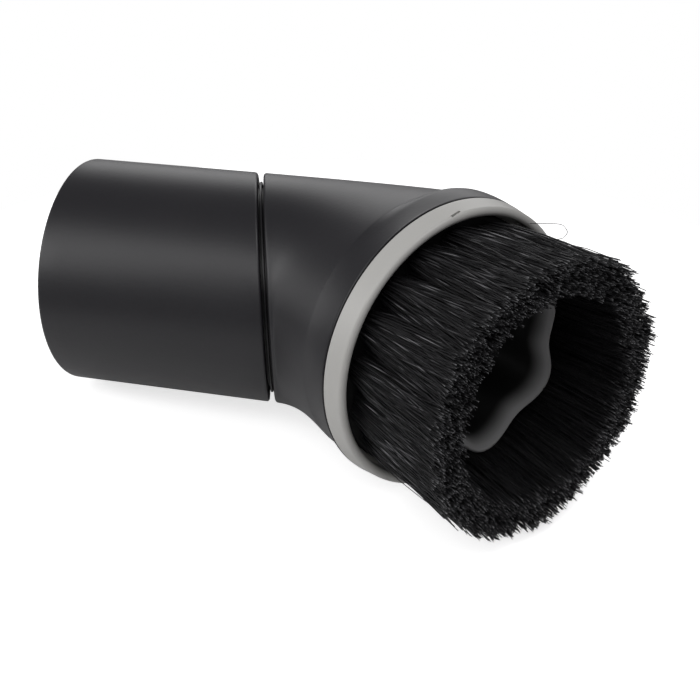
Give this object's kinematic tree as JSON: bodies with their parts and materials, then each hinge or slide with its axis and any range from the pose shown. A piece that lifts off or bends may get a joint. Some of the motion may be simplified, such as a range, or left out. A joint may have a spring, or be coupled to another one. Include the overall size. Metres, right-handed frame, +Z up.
{
  "type": "vacuum dusting brush",
  "caption": "Round dusting brush for a vacuum cleaner: a push-on sleeve, a swivelling bent head with a pale trim ring, and a field of black bristles.",
  "frame": {"origin": "centre of the sleeve's open end, on the axis of the wand socket", "axes": "+X along the sleeve towards the brush, +Z up as the brush lies on its side, the mouth turned towards -Y; mirrored about z = 0"},
  "size_m": [0.1037, 0.0661, 0.0502],
  "materials": {
    "black_shell": "fine satin moulded plastic",
    "grey_ring": "smooth satin plastic",
    "black_carrier": "satin moulded plastic",
    "anchor_wire": "bright flat wire",
    "bristle": "glossy nylon filaments"
  },
  "bodies": {
    "sleeve": {"connector_sleeve": "black_shell"},
    "head": {"head_housing": "black_shell", "trim_ring": "grey_ring", "tuft_carrier": "black_carrier", "tuft_anchors": "anchor_wire", "tuft_outer_01": "bristle", "tuft_outer_02": "bristle", "tuft_outer_03": "bristle", "tuft_outer_04": "bristle", "tuft_outer_05": "bristle", "tuft_outer_06": "bristle", "tuft_outer_07": "bristle", "tuft_outer_08": "bristle", "tuft_outer_09": "bristle", "tuft_outer_10": "bristle", "tuft_outer_11": "bristle", "tuft_outer_12": "bristle", "tuft_outer_13": "bristle", "tuft_outer_14": "bristle", "tuft_outer_15": "bristle", "tuft_outer_16": "bristle", "tuft_outer_17": "bristle", "tuft_outer_18": "bristle", "tuft_inner_01": "bristle", "tuft_inner_02": "bristle", "tuft_inner_03": "bristle", "tuft_inner_04": "bristle", "tuft_inner_05": "bristle", "tuft_inner_06": "bristle", "tuft_inner_07": "bristle", "tuft_inner_08": "bristle", "tuft_inner_09": "bristle", "tuft_inner_10": "bristle", "tuft_inner_11": "bristle", "tuft_inner_12": "bristle", "tuft_inner_13": "bristle", "tuft_inner_14": "bristle", "tuft_inner_15": "bristle", "tuft_inner_16": "bristle", "tuft_inner_17": "bristle", "tuft_inner_18": "bristle"}
  },
  "joints": [
    {"name": "head_swivel", "type": "hinge", "parent": "sleeve", "child": "head", "pos_m": [0.035, 0, 0], "axis": [0.9483, 0.3173, 0], "continuous": true}
  ]
}
